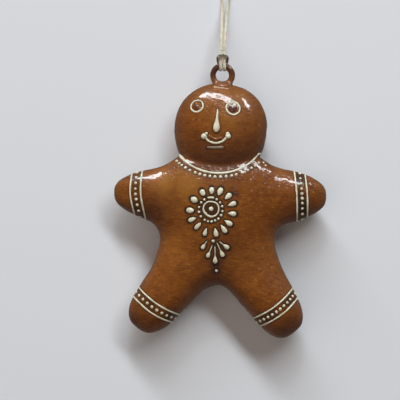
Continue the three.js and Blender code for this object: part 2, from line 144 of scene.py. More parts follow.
# Petals, clockwise from the top: angle, distance of the middle from the ring's, half width,
# length, and how pointed the inner end is, from 0, round, to 1.
PETALS = (
    (0, 8.2, 1.03, 2.8, 0.25), (23, 8.5, 1.15, 3.3, 0.45), (48, 8.8, 1.15, 3.3, 0.6),
    (71, 8.5, 1.1, 3.7, 0.95), (97, 8.1, 1.05, 3.5, 1.0), (125, 8.0, 1.05, 3.8, 1.0),
    (146, 8.4, 1.0, 4.0, 1.0), (169, 8.6, 1.02, 3.7, 0.9), (197, 8.6, 0.88, 3.4, 0.95),
    (223, 8.1, 0.9, 3.5, 0.3), (247, 8.4, 1.05, 3.3, 0.6), (272, 8.6, 1.2, 3.0, 0.2),
    (303, 8.3, 1.22, 2.9, 0.15), (334, 8.2, 1.14, 2.7, 0.15),
)

# The hanging spray: the middle of each round end, the tip of its tail, and the half width.
SPRAY = (
    ((-6.9, -18.9), (-5.2, -16.2), 0.85),
    ((-4.9, -22.3), (-3.0, -17.8), 0.82),
    ((-2.0, -24.4), (-2.1, -18.2), 0.98),
    ((0.9, -21.9), (-1.4, -16.9), 0.92),
    ((2.7, -18.9), (-0.5, -16.5), 0.95),
)
SPRAY_LENGTH = 3.3  # of the round end, in half widths
SPRAY_POINTED = 0.9
SPRAY_TAIL = 0.2
SPRAY_DOTS = (((-2.8, -16.4), 0.68), ((-1.5, -28.3), 0.55))

EYES = (
    dict(x=-9.25, y=37.4, radius=2.5, flat=0.88, lean=38),
    dict(x=5.15, y=36.6, radius=2.72, flat=0.95, lean=-20),
)
EYE_LINE = 0.32
EYE_SWELLING = ((250, 50, 0.25),)
PUPILS = (((-9.6, 37.0), 1.4, 0.4), ((5.1, 36.6), 1.95, 0.28))
EYE_GLINT = ((5.6, 37.5), 0.92, 1.05)

# The nose from its round end up to its tip: places, and the half width at each.
NOSE = (
    (-1.62, 26.9), (-1.6, 27.3), (-1.55, 28.1), (-1.5, 28.9), (-1.42, 30.0), (-1.35, 31.0), (-1.22, 32.8),
    (-1.1, 35.0), (-1.03, 36.3),
)
NOSE_WIDTHS = (0.05, 0.85, 1.3, 1.4, 1.2, 0.85, 0.5, 0.33, 0.14)
NOSE_RISE = 0.62
MOUTH = ((-6.0, 25.2), (-4.7, 23.5), (-1.9, 22.6), (1.0, 23.4), (2.9, 25.3))
MOUTH_LINE = 0.46
MOUTH_ENDS = (((-6.5, 25.3), 1.2), ((-5.5, 26.4), 0.6), ((3.15, 25.4), 1.2), ((3.0, 26.2), 0.8))
# The ridge inside the mouth, lacquered like the face.
LIP = dict(points=((-4.8, 25.7), (-3.2, 24.6), (-1.4, 24.1), (0.9, 24.9)), half_width=0.55, rise=0.7)
CHIN_LINE = dict(points=((-5.4, 21.0), (-2.0, 20.85), (1.5, 21.0)), half_width=0.52, rise=0.45)

# ---- sizes of the ring

RING_X, RING_Y = 0.95, 49.8
RING_RADIUS = 3.78
RING_THICKNESS = 1.2  # half the wire's
RING_BLEND = 1.5
FOOT_Y = 45.3
FOOT_SIZE = (4.1, 1.8, 5.6)  # half length, height and depth
RING_UNEVENNESS = 0.5  # as a share of the figure's
RING_LOW = (RING_X - 7, RING_Y - 8, MID_PLANE - 7)
RING_HIGH = (RING_X + 7, RING_Y + 6, MID_PLANE + 7)
RING_CELL = 0.23

# The bead of solder along the front of the foot, and the bubble at its end.
SEAM = dict(points=((-2.3, 44.9), (-0.6, 44.75), (1.4, 44.5), (3.6, 44.2)), half_width=0.36, rise=1.2)
SEAM_BUBBLE = ((-2.0, 45.0), 0.6, 0.9)

# ---- the string, in metres

STRING_DIAMETER = 0.0012
STRING_ROUTE = (
    (0.0005, 0.0593, 0.0134), (0.0005, 0.0615, 0.0129), (0.00055, 0.0638, 0.0117),
    (0.00065, 0.0662, 0.0098), (0.00075, 0.0684, 0.0076), (0.0008, 0.0705, 0.0053),
    (0.00085, 0.0728, 0.0032), (0.00085, 0.0752, 0.0017), (0.0009, 0.0778, 0.0009),
    (0.0008, 0.0805, 0.00065), (0.00035, 0.0835, 0.00065), (0.0, 0.0865, 0.00065),
    (0.0001, 0.0892, 0.00065), (0.001, 0.0913, 0.00065), (0.0027, 0.0924, 0.00065),
    (0.0044, 0.0915, 0.00065), (0.0052, 0.0894, 0.00065), (0.0051, 0.0866, 0.00065),
    (0.0044, 0.0836, 0.00065), (0.0035, 0.0806, 0.00065), (0.0031, 0.078, 0.0009),
    (0.00285, 0.0754, 0.0017), (0.0027, 0.073, 0.0032), (0.00255, 0.0707, 0.0053),
    (0.0024, 0.0686, 0.0076), (0.00225, 0.0664, 0.0098), (0.00205, 0.064, 0.0117),
    (0.0019, 0.0616, 0.0129), (0.00185, 0.0593, 0.0134),
)
STRING_STEP = 0.00035
PLIES = 3
PLY_PITCH = 0.0042
PLY_RADIUS = 0.29  # in diameters of the string
PLY_OFFSET = 0.26
PLY_SIDES = 8

# Half of the cow hitch, as distances from the ring's middle plane; the other half mirrors it.
HITCH_DIAMETER = 0.0013
HITCH = (
    (-0.00068, 0.0595, 0.0135), (-0.0007, 0.0572, 0.0137), (-0.00072, 0.0552, 0.0140),
    (-0.00072, 0.0536, 0.0141), (-0.00074, 0.0525, 0.0136), (-0.00076, 0.0521, 0.0120),
    (-0.001, 0.0525, 0.0104), (-0.00135, 0.0538, 0.0100), (-0.00165, 0.0553, 0.0105),
    (-0.00185, 0.0564, 0.0122), (-0.0017, 0.0570, 0.0140), (-0.0011, 0.0574, 0.0150),
)
HITCH_BIGHT = (0.0, 0.0576, 0.0152)

# The hitch is darker where its top lies over the strands, and painted with shade outside them,
# where it runs round behind the ring: the heights, y and distances from the ring's middle plane
# between which the darkening fades in.
DARKER_ABOVE_HEIGHT = (0.0143, 0.0147)
DARKER_ABOVE_Y = (0.0568, 0.0575)
PAINTED_SHADE_OUTSIDE = (0.0014, 0.0018)


# ---- the figure as a field

def lobe_distance(lobe, p):
    """Signed distance to an oval lobe with an elliptical section front to back, near its surface."""
    x, y, turn, half_length, full_half_width, half_depth, taper, n = lobe
    cos, sin = math.cos(math.radians(turn)), math.sin(math.radians(turn))
    dx, dy = p[..., 0] - x, p[..., 1] - y
    along = (dx * cos + dy * sin) / half_length
    widening = np.maximum(1 + taper * along, NARROWEST)
    half_width = full_half_width * widening
    across = (dy * cos - dx * sin) / half_width
    depth = (p[..., 2] - MID_PLANE) / half_depth
    oval = (np.abs(along) ** n + np.abs(across) ** n + 1e-12) ** (1 / n)
    level = np.hypot(oval, depth)
    slope_across = np.sign(across) * (np.abs(across) / oval) ** (n - 1)
    slope_along = np.sign(along) * (np.abs(along) / oval) ** (n - 1)
    slope_along = slope_along - slope_across * across * taper / widening
    share = oval / level
    steepness = np.sqrt(
        (share * slope_along / half_length) ** 2
        + (share * slope_across / half_width) ** 2
        + (depth / level / half_depth) ** 2
    )
    return (level - 1) / (steepness + 1e-6)


def blend(a, b, width):
    """The nearer of two distances, rounded over where they are about equal."""
    overlap = np.maximum(width - np.abs(a - b), 0) / width
    return np.minimum(a, b) - overlap**2 * width / 4


def unit(v):
    return v / np.linalg.norm(v, axis=-1, keepdims=True)


def wave_table(rng):
    """Plane waves of the unevenness: direction times frequency, phase and height of each."""
    rows = []
    for wavelength, height in UNEVENNESS:
        for _ in range(WAVES_EACH):
            direction = unit(rng.normal(size=3))
            rows.append([*(2 * math.pi / wavelength * direction), rng.uniform(0, 2 * math.pi), height])
    return np.array(rows)


WAVES = wave_table(np.random.default_rng(11))


def unevenness(p):
    phase = p @ WAVES[:, :3].T + WAVES[:, 3]
    return np.sin(phase) @ WAVES[:, 4] / math.sqrt(WAVES_EACH / 2)


def figure_distance(p):
    legs = blend(lobe_distance(LEFT_LEG, p), lobe_distance(RIGHT_LEG, p), CROTCH_BLEND)
    torso = blend(lobe_distance(TORSO, p), legs, HIP_BLEND)
    arms = np.minimum(lobe_distance(LEFT_ARM, p), lobe_distance(RIGHT_ARM, p))
    trunk = blend(torso, arms, ARM_BLEND)
    distance = blend(trunk, lobe_distance(HEAD, p), CHIN_BLEND)
    near = np.abs(distance) < UNEVEN_WITHIN
    distance[near] += unevenness(p[near])
    return np.maximum(distance - LACQUER_THICKNESS, -p[..., 2])


def ring_distance(p):
    dx, dy, dz = p[..., 0] - RING_X, p[..., 1] - RING_Y, p[..., 2] - MID_PLANE
    ring = np.hypot(np.hypot(dx, dy) - RING_RADIUS, dz) - RING_THICKNESS
    q = (p - (RING_X, FOOT_Y, MID_PLANE)) / FOOT_SIZE
    level = np.linalg.norm(q, axis=-1)
    foot = (level - 1) * level / (np.linalg.norm(q / FOOT_SIZE, axis=-1) + 1e-6)
    distance = blend(ring, foot, RING_BLEND)
    return distance + RING_UNEVENNESS * unevenness(p)


def slope(field, p):
    step = 0.01
    return np.stack(
        [(field(p + step * axis) - field(p - step * axis)) / (2 * step) for axis in np.eye(3)], axis=-1
    )


def normals(p):
    return unit(slope(figure_distance, p))


def leaving(path):
    """Where curves from inside the figure leave it. path gives their points at distances along."""
    reach = np.arange(REACH_STEP, FARTHEST_REACH, REACH_STEP)[None]
    outside = figure_distance(path(reach)) > 0
    far = reach[0, outside.argmax(axis=1)][:, None]
    near = far - REACH_STEP
    for _ in range(HALVINGS):
        middle = (near + far) / 2
        out = figure_distance(path(middle)) > 0
        far, near = np.where(out, middle, far), np.where(out, near, middle)
    return path(near)[:, 0]


def surface_points(origins, directions):
    """Where rays from inside the figure leave it."""
    origins, directions = np.broadcast_arrays(origins, directions)
    return leaving(lambda reach: origins[:, None] + directions[:, None] * reach[..., None])


def on_face(points, side):
    """Points of the figure's front, side 1, or back, side -1, over places of its outline plane."""
    origins = np.column_stack([points, np.full(len(points), MID_PLANE)])
    return surface_points(origins, (0.0, 0.0, side))


def on_front(points):
    return on_face(points, 1.0)


# ---- meshes

def surface_net(field, low, high, cell):
    """Vertices and quads of the surface field = 0 in a box: a vertex for each cell that the
    surface crosses, moved onto the surface, and a quad for each grid edge that it cuts."""
    low, high = np.array(low), np.array(high)
    counts = np.ceil((high - low) / cell).astype(int) + 1
    xs, ys, zs = (low[k] + cell * np.arange(counts[k]) for k in range(3))
    value = np.empty(counts)
    x, y = np.meshgrid(xs, ys, indexing="ij")
    for k, z in enumerate(zs):
        value[:, :, k] = field(np.stack([x, y, np.full_like(x, z)], axis=-1))
    inside = value < 0

    def axes(rest):
        """Each axis with the two others, and the windows at the starts and ends of its edges."""
        for axis in range(3):
            start, end = [rest] * 3, [rest] * 3
            start[axis], end[axis] = slice(None, -1), slice(1, None)
            yield axis, (axis + 1) % 3, (axis + 2) % 3, tuple(start), tuple(end)

    total = np.zeros([*(counts - 1), 3])
    crossings = np.zeros(counts - 1)
    for axis, first, second, start, end in axes(slice(None)):
        a, b = value[start], value[end]
        cut = (a < 0) != (b < 0)
        share = np.where(cut, a / np.where(cut, a - b, 1), 0)
        for s, t in ((0, 0), (0, 1), (1, 0), (1, 1)):
            window = [slice(None)] * 3
            window[first] = slice(s, s + counts[first] - 1)
            window[second] = slice(t, t + counts[second] - 1)
            window = tuple(window)
            total[..., axis] += share[window]
            total[..., first] += s * cut[window]
            total[..., second] += t * cut[window]
            crossings += cut[window]
    crossed = crossings > 0
    number = np.full(crossed.shape, -1)
    number[crossed] = np.arange(crossed.sum())
    vertices = low + cell * (np.argwhere(crossed) + total[crossed] / crossings[crossed][:, None])
    for _ in range(2):
        gradient = slope(field, vertices)
        vertices -= gradient * (field(vertices) / (gradient**2).sum(1))[:, None]

    quads = []
    for axis, first, second, start, end in axes(slice(1, -1)):
        here, there = inside[start], inside[end]
        offset = np.ones(3, int)
        offset[axis] = 0
        edges = np.argwhere(here != there) + offset
        around = []
        for s, t in ((0, 0), (1, 0), (1, 1), (0, 1)):
            cells = edges.copy()
            cells[:, first] -= s
            cells[:, second] -= t
            around.append(number[tuple(cells.T)])
        quad = np.stack(around, axis=1)
        facing_back = ~here[here != there]
        quad[facing_back] = quad[facing_back, ::-1]
        quads.append(quad)
    return vertices, np.concatenate(quads).tolist()


def new_object(name, data):
    added = bpy.data.objects.new(name, data)
    bpy.context.scene.collection.objects.link(added)
    return added


def set_attribute(piece, name, values):
    attribute = piece.data.attributes.new(name, "FLOAT", "POINT")
    attribute.data.foreach_set("value", np.asarray(values, np.float32))


def new_piece(name, vertices, faces, material, **attributes):
    """A smooth mesh of points in metres, riding on the part's one body."""
    mesh = bpy.data.meshes.new(name)
    mesh.from_pydata(vertices.tolist(), [], faces)
    mesh.shade_smooth()
    mesh.materials.append(material)
    piece = new_object(name, mesh)
    for attribute, values in attributes.items():
        set_attribute(piece, attribute, values)
    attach(piece, "root")
    return piece


def outward(vertices, faces):
    """The faces of a closed mesh, turned over if they face inwards."""
    fans = np.array([(face[0], *pair) for face in faces for pair in zip(face[1:], face[2:])])
    a, b, c = vertices[fans[:, 0]], vertices[fans[:, 1]], vertices[fans[:, 2]]
    inwards = (a * np.cross(b, c)).sum() < 0
    return [face[::-1] for face in faces] if inwards else faces


def joined(meshes):
    """Several (vertices, faces), each a closed mesh, as one."""
    vertices, faces, start = [], [], 0
    for v, f in meshes:
        vertices.append(v)
        faces += [[i + start for i in face] for face in outward(v, f)]
        start += len(v)
    return np.concatenate(vertices), faces


# ---- curves

def angles_round(count):
    return np.linspace(0, 2 * math.pi, count, endpoint=False)


def step_lengths(line):
    return np.linalg.norm(np.diff(line, axis=0), axis=1)


def distances_along(line):
    return np.concatenate([[0], np.cumsum(step_lengths(line))])


def smooth_line(points, step):
    """Points about step apart on the Catmull-Rom curve through the given ones."""
    points = np.asarray(points, float)
    padded = np.concatenate([[2 * points[0] - points[1]], points, [2 * points[-1] - points[-2]]])
    t = np.linspace(0, 1, 24, endpoint=False)[:, None]
    fine = []
    for a, b, c, d in zip(padded, padded[1:], padded[2:], padded[3:]):
        fine.append(
            0.5 * (2 * b + (c - a) * t + (2 * a - 5 * b + 4 * c - d) * t**2 + (3 * b - a - 3 * c + d) * t**3)
        )
    fine = np.concatenate([*fine, points[-1:]])
    along = distances_along(fine)
    at = np.linspace(0, along[-1], max(int(round(along[-1] / step)), 2) + 1)
    return np.stack([np.interp(at, along, fine[:, k]) for k in range(fine.shape[1])], axis=1)


def tangents(line, closed=False):
    if closed:
        return unit(np.roll(line, -1, axis=0) - np.roll(line, 1, axis=0))
    return unit(np.gradient(line, axis=0))


def carried_frame(line):
    """Two directions across an open line at each point, turned as little as possible along it."""
    ahead = tangents(line)
    side = np.empty_like(line)
    side[0] = unit(np.cross(ahead[0], [0.0, 0.0, 1.0]))
    for i in range(1, len(line)):
        side[i] = unit(side[i - 1] - ahead[i] * (side[i - 1] @ ahead[i]))
    return side, np.cross(ahead, side)


def ring_faces(rings, sides, closed):
    """Quads between successive rings of vertices."""
    faces = []
    for i in range(rings if closed else rings - 1):
        for j in range(sides):
            a, b = i * sides, (i + 1) % rings * sides
            faces.append([a + j, a + (j + 1) % sides, b + (j + 1) % sides, b + j])
    return faces


def swept(line, side, up, half_widths, half_heights, sides, closed=False):
    """An elliptical section carried along a line. The ends of an open one run to a point."""
    angle = angles_round(sides)
    across = side[:, None] * (half_widths[:, None] * np.cos(angle))[..., None]
    rings = line[:, None] + across + up[:, None] * (half_heights[:, None] * np.sin(angle))[..., None]
    if closed:
        return rings.reshape(-1, 3), ring_faces(len(line), sides, True)
    body = rings[1:-1].reshape(-1, 3)
    first, last = len(body), len(body) + 1
    faces = ring_faces(len(line) - 2, sides, False)
    end = len(body) - sides
    faces += [[first, (j + 1) % sides, j] for j in range(sides)]
    faces += [[last, end + j, end + (j + 1) % sides] for j in range(sides)]
    return np.concatenate([body, line[:1], line[-1:]]), faces


# ---- paint laid on the figure

def swollen(width, degrees, swelling):
    """Half widths at angles round a line, with its swellings."""
    for middle, extent, extra in swelling:
        away = np.abs((degrees - middle + 180) % 360 - 180)
        width = width * (1 + extra * np.exp(-((away / extent) ** 2)))
    return width


class Paint:
    """Collects raised marks on the figure, and where they lie, for the wash round them."""

    def __init__(self, seed):
        self.meshes = []
        self.marks = []
        self.rng = np.random.default_rng(seed)

    def unsteady(self, count, share):
        """Factors near 1 that drift along a hand-painted line."""
        knots = self.rng.normal(0, share, max(count // 6, 3) + 2)
        return 1 + np.interp(np.linspace(0, len(knots) - 1, count), np.arange(len(knots)), knots)

    def unsteady_round(self, angle, share, waves):
        """Factors near 1 that drift round a closed line, from two waves round it up to waves - 1."""
        turns = (0, 2 * math.pi)
        return 1 + sum(
            self.rng.normal(0, share) * np.cos(k * angle + self.rng.uniform(*turns)) for k in range(2, waves)
        )

    def stroke(self, line, half_widths, rise=RISE, closed=False):
        """A raised line of paint along points of the surface."""
        up = normals(line)
        side = unit(np.cross(up, tangents(line, closed)))
        centres = line - up * (LINE_SUNK * half_widths)[:, None]
        self.meshes.append(swept(centres, side, up, half_widths, rise * half_widths, PAINT_SIDES, closed))
        self.marks.append((line, half_widths))

    def line(self, points, half_width, rise=RISE):
        """A line over the front through a few points, with round ends."""
        line = on_front(smooth_line(points, PAINT_STEP))
        along = distances_along(line)
        to_end = np.minimum(along, along[-1] - along)
        rounding = np.sqrt(np.clip(1 - (1 - to_end / half_width).clip(0) ** 2, 0, 1))
        self.stroke(line, half_width * rounding * self.unsteady(len(line), LINE_UNSTEADY) + THINNEST, rise)

    def tapered(self, points, half_widths, rise):
        """A stroke over the front, of given half widths at given places."""
        line = smooth_line(np.column_stack([points, half_widths]), TAPERED_STEP)
        self.stroke(on_front(line[:, :2]), np.maximum(line[:, 2], TIP), rise)

    def dot(self, centre, radius, rise=DOT_RISE):
        """A dome of paint on the surface, a little out of round."""
        radius = radius * self.rng.uniform(*DOT_SIZES)
        up = normals(centre[None])[0]
        stretch = self.rng.uniform(*DOT_STRETCHES)
        turn = self.rng.uniform(0, math.pi)
        side = unit(np.cross(up, [math.cos(turn), math.sin(turn), 0.0]))
        share = np.cos(np.linspace(0, math.pi, DOT_RINGS))
        half = np.sqrt(1 - share**2)
        ups, others = (np.repeat(v[None], DOT_RINGS, axis=0) for v in (up, np.cross(up, side)))
        line = centre + share[:, None] * side * radius * stretch - ups * DOT_SUNK * radius
        self.meshes.append(swept(line, others, ups, radius * half, rise * radius * half, PAINT_SIDES))
        self.marks.append((centre[None], np.array([radius])))

    def dots(self, dots):
        """Dots on the front: the place, the radius and maybe the rise of each."""
        for place, *sizes in dots:
            self.dot(on_front([place])[0], *sizes)

    def drop(self, blob, tail, half_width, length, pointed, tail_width=0.0):
        """A drop of paint with its round end centred on blob, drawn out towards tail."""
        blob, tail = np.array(blob), np.array(tail)
        whole = np.linalg.norm(tail - blob)
        ahead = (tail - blob) / whole
        start, end = -half_width, max(length - half_width, whole if tail_width else 0)
        steps = max(int((end - start) / DROP_STEP), 14)
        s = start + (end - start) * (1 - np.cos(np.linspace(0, math.pi, steps))) / 2
        share = np.clip((s - start) / length, 0, 1)
        round_end = np.sqrt(np.clip(1 - (2 * share - 1) ** 2, 0, 1))
        power = 1.15
        peak = 0.5 / (0.5 + power)
        point_end = np.sqrt(share) * (1 - share) ** power / (peak**0.5 * (1 - peak) ** power)
        width = half_width * ((1 - pointed) * round_end + pointed * point_end)
        if tail_width:
            thin = tail_width * np.clip((end - s) / (0.5 * tail_width + 0.6), 0, 1) * (s > 0)
            width = np.maximum(width, thin)
        line = on_front(blob + s[:, None] * ahead)
        self.stroke(line, width * self.unsteady(len(line), DROP_UNSTEADY) + THINNEST, DROP_RISE)

    def loop(self, place, half_width, swelling=()):
        """A closed line round the figure; place gives its points at angles round it."""
        angle = angles_round(LOOP_POINTS)
        width = half_width * self.unsteady_round(angle, *LOOP_UNSTEADY)
        self.stroke(place(angle), swollen(width, np.degrees(angle), swelling), closed=True)

    def circle(self, x, y, radius, half_width, swelling, flat=1.0, lean=0.0):
        """A closed ring on the front, flat being its shape across the lean."""
        angle = angles_round(CIRCLE_POINTS)
        drift = self.unsteady_round(angle, *CIRCLE_UNSTEADY)
        a, b = radius * drift * np.cos(angle), radius * flat * drift * np.sin(angle)
        cos, sin = math.cos(math.radians(lean)), math.sin(math.radians(lean))
        points = np.column_stack([x + a * cos - b * sin, y + a * sin + b * cos])
        width = np.full(len(angle), half_width)
        self.stroke(on_front(points), swollen(width, np.degrees(angle) + lean, swelling), closed=True)

    def piece(self, name, material):
        vertices, faces = joined(self.meshes)
        return new_piece(name, vertices * MM, faces, material)


def limb_direction(band):
    to_tip = math.radians(band["to_tip"])
    return math.cos(to_tip), math.sin(to_tip)


def band_points(band, angle):
    """Points of a band round a limb, at angles round it: 0 on its outline on one side, over its
    front to pi on the other, and on round its back."""
    cos, sin = limb_direction(band)
    push = band["bow"] * np.sin(angle) ** 2
    origins = np.array([band["x"], band["y"], MID_PLANE]) + push[:, None] * (cos, sin, 0.0)
    rays = np.cos(angle)[:, None] * (-sin, cos, 0.0) + np.sin(angle)[:, None] * (0.0, 0.0, 1.0)
    return surface_points(origins, rays)


def band_dot_angles(band):
    place = np.linspace(-1, 1, band["dots"])
    return np.arccos(DOT_REACH * np.sin(DOT_SPREAD * place) / math.sin(DOT_SPREAD))


def moved(band, along):
    cos, sin = limb_direction(band)
    return {**band, "x": band["x"] + along * cos, "y": band["y"] + along * sin}


def arc_height(arc, x):
    """How high an arc under the head lies at x."""
    share = np.clip(1 - ((x - arc["x"]) / arc["half_width"]) ** 2, 0, 1)
    return arc["y"] - arc["half_height"] * np.sqrt(share)


def on_arc(arc, degrees):
    """A place on an arc under the head, at an angle from its bottom."""
    angle = math.radians(degrees)
    return (arc["x"] + arc["half_width"] * math.sin(angle), arc["y"] - arc["half_height"] * math.cos(angle))


def on_circle(circle, radius, degrees):
    """A place at a distance from a circle's middle, at an angle clockwise from its top."""
    angle = math.radians(degrees)
    return (circle["x"] + radius * math.sin(angle), circle["y"] + radius * math.cos(angle))


def collar_points(angle):
    """Points of the collar's line, at angles round the neck from the right, over the front."""
    def path(reach):
        x = COLLAR["x"] + np.cos(angle)[:, None] * reach
        y = np.minimum(arc_height(COLLAR, x), COLLAR_TOP)
        return np.stack([x, y, MID_PLANE + np.sin(angle)[:, None] * reach], axis=-1)
    return leaving(path)


def paint_bands():
    paint = Paint(21)
    for band in BANDS:
        for side in (-0.5, 0.5):
            edge = moved(band, side * BAND_WIDTH)
            paint.loop(lambda angle, edge=edge: band_points(edge, angle), LINE)
        front = band_dot_angles(band)
        for centre in band_points(band, np.concatenate([front, -front[1:-1]])):
            paint.dot(centre, DOT)
    return paint


def paint_collar():
    paint = Paint(22)
    paint.loop(collar_points, COLLAR_LINE, COLLAR_SWELLING)
    places = [on_arc(COLLAR_DOTS, angle) for angle in COLLAR_DOT_ANGLES]
    for centre in np.concatenate([on_front(places), on_face(places, -1.0)]):
        paint.dot(centre, DOT)
    paint.dots(SHOULDER_DOTS)
    return paint


def paint_flower():
    paint = Paint(23)
    paint.dots([FLOWER_HEART])
    paint.circle(**FLOWER_RING)
    radius = FLOWER_DOTS["radius"]
    paint.dots((on_circle(FLOWER_DOTS, radius, angle), FLOWER_DOT) for angle in FLOWER_DOT_ANGLES)
    paint.line(FLOWER_DASH, DASH_LINE)
    for angle, distance, half_width, length, pointed in PETALS:
        middle = distance + 0.5 * length - half_width
        blob = on_circle(PETAL_RING, middle, angle)
        tail = on_circle(PETAL_RING, middle - length, angle)
        paint.drop(blob, tail, half_width, length, pointed)
    return paint


def paint_spray():
    paint = Paint(24)
    for blob, tail, half_width in SPRAY:
        paint.drop(blob, tail, half_width, SPRAY_LENGTH * half_width, SPRAY_POINTED, SPRAY_TAIL)
    paint.dots(SPRAY_DOTS)
    return paint


def paint_face():
    paint = Paint(25)
    for eye in EYES:
        paint.circle(**eye, half_width=EYE_LINE, swelling=EYE_SWELLING)
    paint.tapered(NOSE, NOSE_WIDTHS, NOSE_RISE)
    paint.line(MOUTH, MOUTH_LINE)
    paint.dots([*MOUTH_ENDS, EYE_GLINT])
    return paint


def paint_line(seed, **line):
    paint = Paint(seed)
    paint.line(**line)
    return paint


# ---- shades of the lacquer

# Dark spots of the front: the small ones are stains of the lacquer and its wash, the broad ones
# painted shade where the figure turns down and away from the light, as under the chin and the
# arms, between the legs and at the feet: where, then the radius and the depth.
STAINS_AND_PAINTED_SHADE = (
    ((-1.6, -25.4), 2.1, 0.92), ((-1.9, -28.2), 1.9, 0.85), ((-0.4, -22.6), 2.2, 0.5),
    ((6.4, 2.6), 1.2, 0.85), ((4.9, 4.6), 1.0, 0.6), ((22.9, -13.2), 0.8, 0.8),
    ((24.0, -16.4), 1.3, 0.85), ((27.8, -8.9), 0.7, 0.7), ((21.2, -10.6), 0.5, 0.6),
    ((36.9, -1.0), 1.0, 0.5), ((-34.0, -47.0), 6.0, 0.35), ((-43.6, 4.0), 1.6, 0.7),
    ((42.6, 1.0), 2.2, 0.5), ((-38.0, -44.5), 2.2, 0.6), ((-34.8, -47.6), 1.6, 0.5),
    ((21.6, -43.6), 0.5, 0.8), ((20.6, -46.0), 2.5, 0.3), ((27.0, -52.0), 6.0, 0.55),
    ((-1.8, -31.5), 8.0, 0.4), ((16.0, -27.0), 6.0, 0.15), ((2.5, -19.0), 5.0, 0.4),
    ((-10.0, 18.0), 7.0, 0.35), ((-3.0, 15.5), 7.5, 0.42), ((4.0, 15.5), 7.5, 0.42),
    ((11.0, 18.5), 7.0, 0.35), ((10.0, 29.0), 6.0, 0.2), ((-27.0, -3.5), 7.0, 0.45),
    ((32.0, -5.0), 7.0, 0.42),
)

# Places of the front where the gold of the lacquer comes through, likewise.
GILDED = (
    ((-22.0, 7.0), 5.0, 0.6), ((-13.0, 6.5), 6.0, 0.6), ((-17.0, -1.0), 5.0, 0.15),
    ((-18.0, -17.0), 5.0, 0.15), ((3.0, 31.0), 6.0, 0.25), ((-8.0, 40.0), 4.0, 0.3),
    ((9.0, 41.0), 4.0, 0.3), ((13.0, -22.0), 5.0, 0.15), ((0.0, 10.5), 4.0, 0.35),
)

# Shade is painted into the lacquer where a surface looks down and to the right, turned from
# the light: the direction, how far a surface has to lean that way before the painted shade
# starts, and how dark it gets.
SHADED = np.array([0.3, -0.93, -0.2])
SHADED_FROM, SHADED_TO = 0.05, 0.75
SHADED_DEPTH = 0.35

# The wash round the medallion's and the spray's paint, and round all other paint: its reach and
# its depth.
DEEP_HALO = (1.1, 1.0)
THIN_HALO = (0.75, 0.85)

# The wash under the medallion: its depth at distances from the middle, and where it fades out.
MEDALLION_RADII = (0, 2.4, 3.2, 4.2)
MEDALLION_DEPTHS = (0.8, 0.8, 0.5, 0.75)
MEDALLION_EDGE = (5.2, 6.4)

# The patches of the thin wash: mean depth, contrast, how much finer they are than the
# unevenness, and least depth.
PATCH_MEAN, PATCH_CONTRAST, PATCH_FINENESS, PATCH_LEAST = 0.8, 1.6, 3, 0.35

LEFT_PUPIL_DARKENING, RIGHT_PUPIL_DARKENING = 0.5, 0.75
LIP_DARKENING = 0.1

# The ring darkens upwards between these y, and some more to the left between these x.
RING_DARK_UP = (FOOT_Y + 1, RING_Y + 1)
RING_DARK_LEFT = (RING_X - 4, RING_X + 6)
RING_DARKENING, RING_LEFT_DARKENING = 0.5, 0.35

PAIRS_AT_ONCE = 2_000_000  # distances that halo() works out together, for its memory


def smooth(share):
    """A share from 0 to 1, eased at both ends."""
    return share * share * (3 - 2 * share)


def step_down(value, low, high):
    """1 below low, 0 above high."""
    return smooth(np.clip((high - value) / (high - low), 0, 1))


def halo(vertices, marks, reach, depth):
    """The depth at the edge of the nearest mark and under it, falling to 0 at reach from it."""
    distance = np.full(len(vertices), reach)
    for centres, widths in marks:
        margin = reach + widths.max()
        low, high = centres.min(0) - margin, centres.max(0) + margin
        near = np.flatnonzero(((vertices > low) & (vertices < high)).all(1))
        for some in np.array_split(near, max(len(near) * len(centres) // PAIRS_AT_ONCE, 1)):
            if len(some):
                away = np.linalg.norm(vertices[some, None] - centres, axis=2) - widths
                distance[some] = np.minimum(distance[some], away.min(1))
    return depth * smooth(np.clip(1 - distance / reach, 0, 1))


def band_fill(vertices):
    """How deep the wash lies between the two lines of each band."""
    fill = np.zeros(len(vertices))
    full_to, none_from = (share * BAND_WIDTH for share in BAND_FILL)
    for band in BANDS:
        cos, sin = limb_direction(band)
        offset = vertices - (band["x"], band["y"], MID_PLANE)
        along = offset[:, 0] * cos + offset[:, 1] * sin
        across = offset[:, 1] * cos - offset[:, 0] * sin
        angle = np.arctan2(offset[:, 2], across)
        from_middle = np.abs(along - band["bow"] * np.sin(angle) ** 2)
        on_limb = np.linalg.norm(offset, axis=1) < BAND_REACH
        depth = np.interp(np.abs(angle), (0, math.pi / 2, math.pi), band["wash"])
        fill = np.maximum(fill, depth * on_limb * step_down(from_middle, full_to, none_from))
    return fill


def wash(vertices, deep_marks, thin_marks):
    """How deep the dark wash lies: round the paint, in the bands and under the medallion."""
    flower = np.hypot(vertices[:, 0] - FLOWER_DOTS["x"], vertices[:, 1] - FLOWER_DOTS["y"])
    medallion = step_down(flower, *MEDALLION_EDGE) * (vertices[:, 2] > MID_PLANE)
    patches = PATCH_CONTRAST * unevenness(PATCH_FINENESS * vertices)
    patchy = np.clip(PATCH_MEAN + patches, PATCH_LEAST, 1)
    return np.maximum.reduce([
        halo(vertices, deep_marks, *DEEP_HALO),
        halo(vertices, thin_marks, *THIN_HALO) * patchy,
        band_fill(vertices) * patchy,
        medallion * np.interp(flower, MEDALLION_RADII, MEDALLION_DEPTHS),
    ])


def spread(vertices, place, radius, depth):
    """A soft round spot about a place of the front."""
    away = np.linalg.norm(vertices - on_front([place]), axis=1) / radius
    return depth * np.exp(-(away**2))


def darkening(vertices):
    """How dark the lacquer is painted: painted shade where it leans down and in the broad spots, and stains
    in the small ones.
    """
    dark = SHADED_DEPTH * (1 - step_down(normals(vertices) @ SHADED, SHADED_FROM, SHADED_TO))
    # The broad spots paint shade; the small ones are stains.
    for spot in STAINS_AND_PAINTED_SHADE:
        dark = 1 - (1 - dark) * (1 - spread(vertices, *spot))
    return dark


